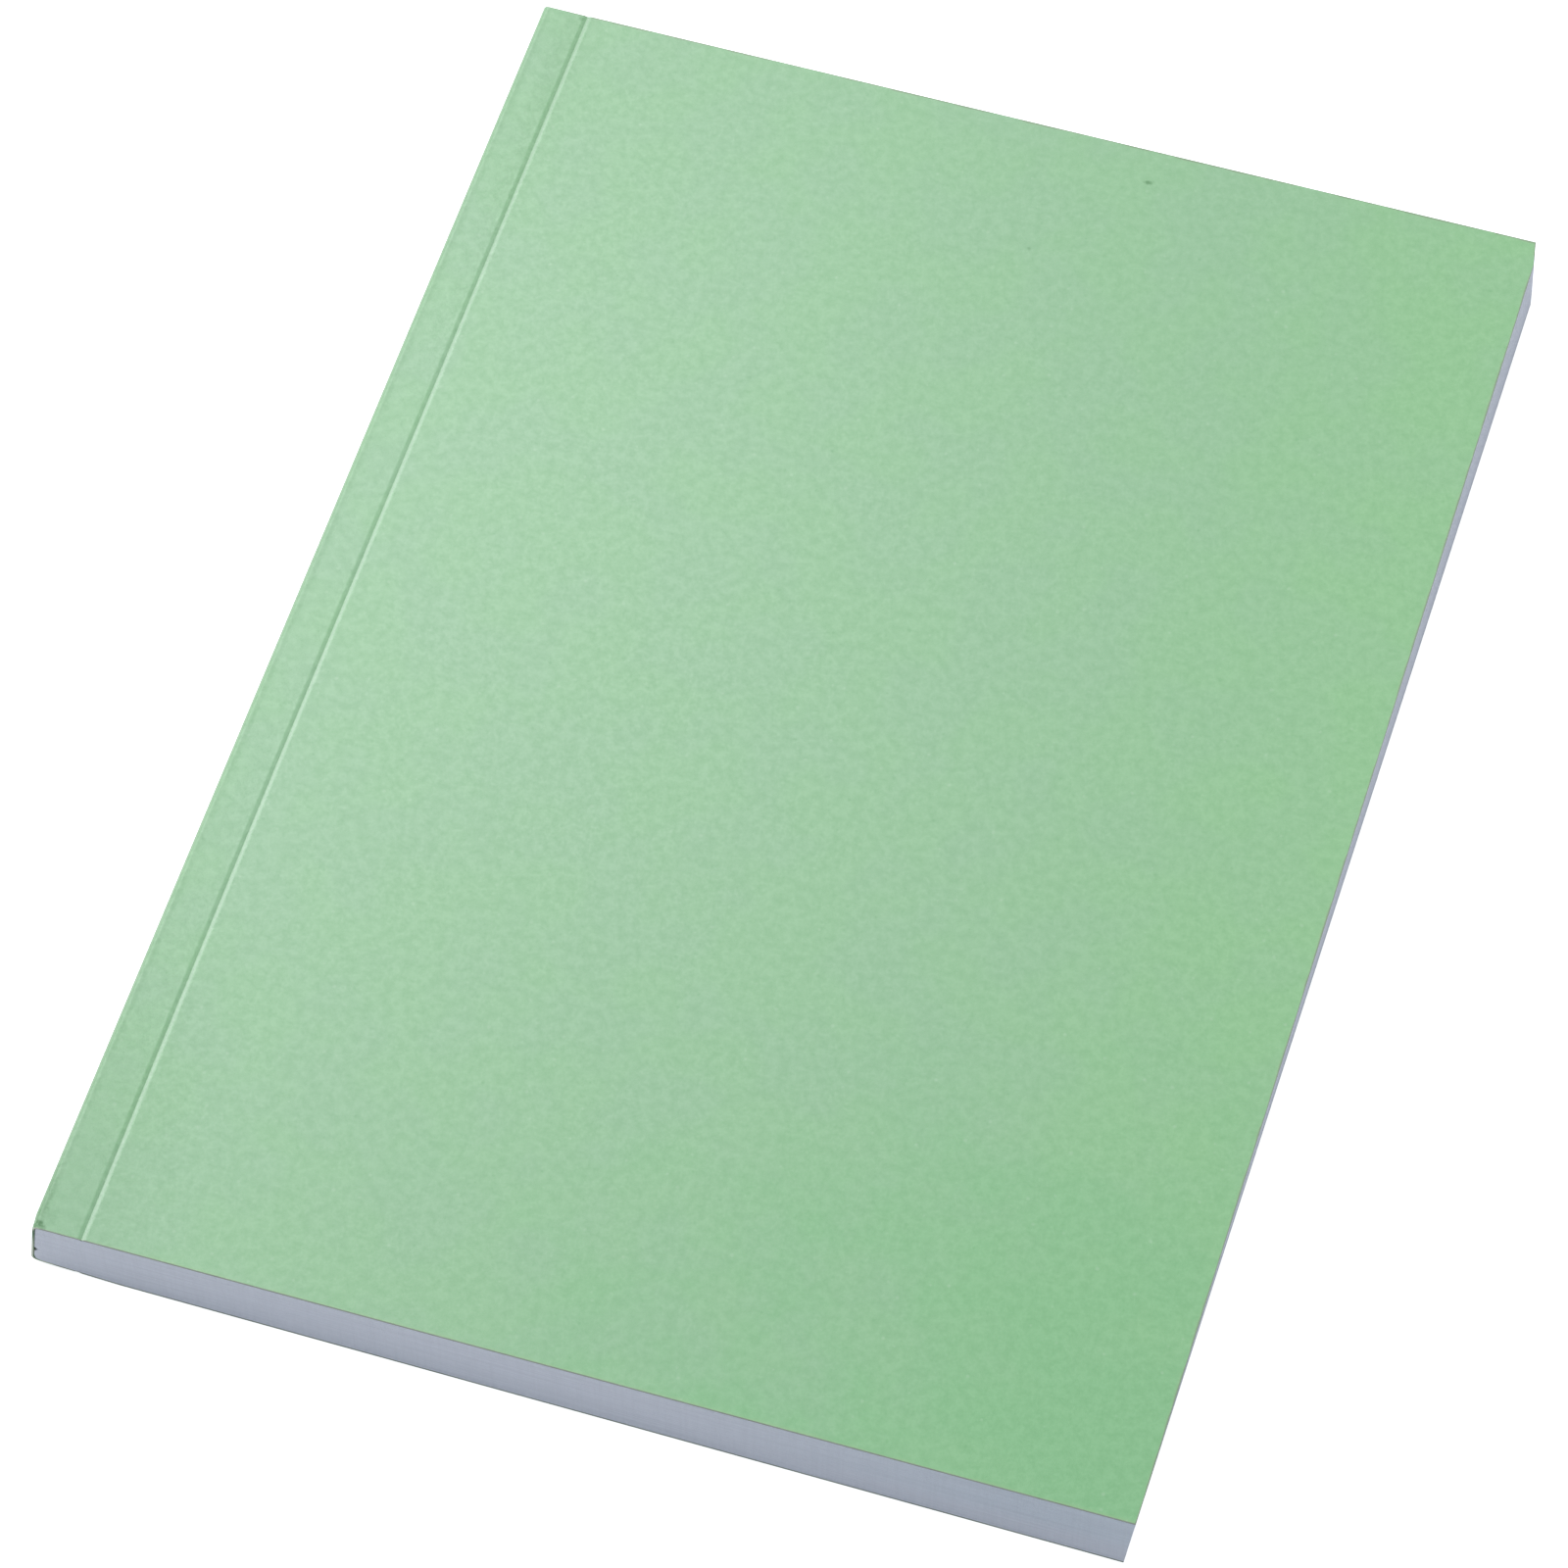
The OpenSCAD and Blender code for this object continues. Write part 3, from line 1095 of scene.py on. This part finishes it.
class NOTEBOOK_OT_adhesive(Operator):
    """Spreads the film of adhesive between the spine of the card and the leaves"""

    bl_idname = "notebook.adhesive"
    bl_label = "Adhesive"

    # Cuts across the film along the notebook's height and thickness
    ROWS = 90
    COLUMNS = 30
    # How unevenly the film's ends run, as a share of how far they stop short, the share of that which
    # carries on from one cut to the next, and how many times its depth the void reaches up the spine
    UNEVEN = 0.35
    DRIFT = 0.6
    VOID_LENGTHS = 4
    # Share of its thickness by which the film keeps off the card and the leaves, so that no faces
    # coincide
    CLEAR = 0.05
    SEED = 7

    def execute(self, context):
        sizes, colours = context.scene.notebook_sizes, context.scene.notebook_colours
        clear = self.CLEAR * sizes.adhesive_thickness
        bpy.ops.object.select_all(action="DESELECT")
        bpy.ops.mesh.primitive_grid_add(
            x_subdivisions=self.COLUMNS,
            y_subdivisions=self.ROWS,
            size=1,
            location=(0, 0, TOTAL_T / 2),
            rotation=(0, math.pi / 2, 0),
        )
        context.object.scale = (BLOCK_T - 2 * clear, 2 * HALF_H, 1)
        piece = new_piece("spine_adhesive")
        chance = random.Random(self.SEED)
        runs = {}
        for point in piece.data.vertices:
            if abs(point.co.y) > HALF_H - NEAR:
                end, share = math.copysign(1, point.co.y), share_up(point.co.z)
                step = chance.uniform(-self.UNEVEN, self.UNEVEN)
                runs[end] = self.DRIFT * runs.get(end, 0) + step
                short = end_gap(sizes, share) * (1 + abs(runs[end]))
                point.co.y -= end * (short + self.VOID_LENGTHS * void_depth(share))
            point.co.x = card_inside_x(sizes, point.co.z) + clear
        thicken(piece, thickness=sizes.adhesive_thickness - 2 * clear, offset=1, use_rim=True)
        bpy.ops.object.mode_set(mode="EDIT")
        bpy.ops.mesh.select_all(action="SELECT")
        bpy.ops.mesh.normals_make_consistent(inside=False)
        bpy.ops.object.mode_set(mode="OBJECT")
        piece.data.materials.append(adhesive_material("adhesive", colours))
        settle(piece, sizes)
        bpy.ops.object.shade_smooth_by_angle(angle=ADHESIVE_SMOOTH)
        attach(piece, "book_block")
        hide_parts("spine_glue")
        return {"FINISHED"}


# The camera: the point on the floor that it looks at, its distance, bearing, height, roll and lens
LOOK_AT = Vector((-0.0027905, -0.0059409, 0))
CAMERA_DISTANCE = 0.9914471
CAMERA_AZIMUTH = math.radians(16.777)
CAMERA_ELEVATION = math.radians(55.9595)
CAMERA_ROLL = math.radians(0.277)
CAMERA_LENS = 170.7
CAMERA_SENSOR = 36
CAMERA_CLIP = 0.01
# The floor's size, and how far it lies under the notebook
FLOOR_SIZE = 4
FLOOR_GAP = 0.00002
ROOM_COLOUR = (0.8, 0.88, 1.04, 1)
# Softboxes: name, direction from the notebook, distance, size, the setting of its power, and colour
SOFTBOXES = (
    ("key", (-0.731, 0.711, 1), 2, (1.345, 1.214), "key_power", (1, 0.99, 1.05)),
    ("head_fill", (0.5, 0.9, 1), 1.2, (0.8, 0.8), "head_fill_power", (1, 1, 1)),
    ("spine_fill", (-1, -0.1, 0.7), 1.2, (0.8, 0.8), "spine_fill_power", (1, 1, 1)),
)


class NOTEBOOK_OT_studio(Operator):
    """Sets the camera, the pale floor and the soft studio light"""

    bl_idname = "notebook.studio"
    bl_label = "Studio"

    def execute(self, context):
        scene = context.scene
        scene.view_settings.view_transform = "Standard"
        scene.view_settings.look = "None"
        self.add_camera(scene)
        self.add_floor(scene.notebook_colours)
        studio = scene.notebook_studio
        self.add_room(scene, studio.room_strength)
        for name, direction, distance, size, power, colour in SOFTBOXES:
            self.add_softbox(name, direction, distance, size, getattr(studio, power), colour)
        return {"FINISHED"}

    def add_camera(self, scene):
        """Places the camera at the photograph's viewing angle"""
        azimuth, elevation = CAMERA_AZIMUTH, CAMERA_ELEVATION
        back = Vector(
            (
                math.sin(azimuth) * math.cos(elevation),
                -math.cos(azimuth) * math.cos(elevation),
                math.sin(elevation),
            )
        )
        right = Vector((math.cos(azimuth), math.sin(azimuth), 0))
        turn = Matrix((right, back.cross(right), back)).transposed()
        turn = turn @ Matrix.Rotation(CAMERA_ROLL, 3, "Z")
        bpy.ops.object.camera_add(location=LOOK_AT + back * CAMERA_DISTANCE, rotation=turn.to_euler())
        camera = bpy.context.object
        camera.name = "camera"
        camera.data.lens = CAMERA_LENS
        camera.data.sensor_width = CAMERA_SENSOR
        camera.data.clip_start = CAMERA_CLIP
        scene.camera = camera

    def add_floor(self, colours):
        """Lays the floor just under the notebook"""
        bpy.ops.mesh.primitive_plane_add(size=FLOOR_SIZE, location=(0, 0, -FLOOR_GAP))
        floor = new_piece("floor")
        floor.data.materials.append(floor_material("pale_floor", colours))

    def add_room(self, scene, strength):
        """Fills the room with a dim, even light"""
        world = bpy.data.worlds.new("room")
        world.use_nodes = True
        sky = world.node_tree.nodes["Background"].inputs
        sky["Color"].default_value = ROOM_COLOUR
        sky["Strength"].default_value = strength
        scene.world = world

    def add_softbox(self, name, direction, distance, size, power, colour):
        """Hangs one softbox, turned to the notebook and hidden from the camera"""
        towards = Vector(direction).normalized()
        turn = towards.to_track_quat("Z", "Y").to_euler()
        bpy.ops.object.light_add(type="AREA", location=towards * distance, rotation=turn)
        light = bpy.context.object
        light.name = name
        light.data.shape = "RECTANGLE"
        light.data.size, light.data.size_y = size
        light.data.energy = power
        light.data.color = colour
        light.visible_camera = False


class NOTEBOOK_PT_sidebar(Panel):
    """Lists the pieces of the notebook and its studio, with their sizes and colours"""

    bl_label = "Softcover Notebook"
    bl_idname = "NOTEBOOK_PT_sidebar"
    bl_space_type = "VIEW_3D"
    bl_region_type = "UI"
    bl_category = "Notebook"

    def draw(self, context):
        scene = context.scene
        for operator in OPERATORS:
            self.layout.operator(operator.bl_idname, text=operator.bl_label)
        for settings in (scene.notebook_sizes, scene.notebook_colours, scene.notebook_studio):
            box = self.layout.box()
            for name in settings.__annotations__:
                box.prop(settings, name)


OPERATORS = (
    NOTEBOOK_OT_front_card,
    NOTEBOOK_OT_back_card,
    NOTEBOOK_OT_leaves,
    NOTEBOOK_OT_adhesive,
    NOTEBOOK_OT_studio,
)
CLASSES = (NotebookSizes, NotebookColours, StudioSettings, *OPERATORS, NOTEBOOK_PT_sidebar)


def register():
    """Registers the classes and hangs the settings on the scene."""
    for kind in CLASSES:
        bpy.utils.register_class(kind)
    bpy.types.Scene.notebook_sizes = PointerProperty(type=NotebookSizes)
    bpy.types.Scene.notebook_colours = PointerProperty(type=NotebookColours)
    bpy.types.Scene.notebook_studio = PointerProperty(type=StudioSettings)


def unregister():
    """Takes the settings off the scene and unregisters the classes."""
    del bpy.types.Scene.notebook_studio
    del bpy.types.Scene.notebook_colours
    del bpy.types.Scene.notebook_sizes
    for kind in reversed(CLASSES):
        bpy.utils.unregister_class(kind)


def main():
    """Builds the notebook and its studio."""
    register()
    bpy.ops.notebook.front_card()
    bpy.ops.notebook.back_card()
    bpy.ops.notebook.leaves()
    bpy.ops.notebook.adhesive()
    bpy.ops.notebook.studio()


if __name__ == "__main__":
    main()
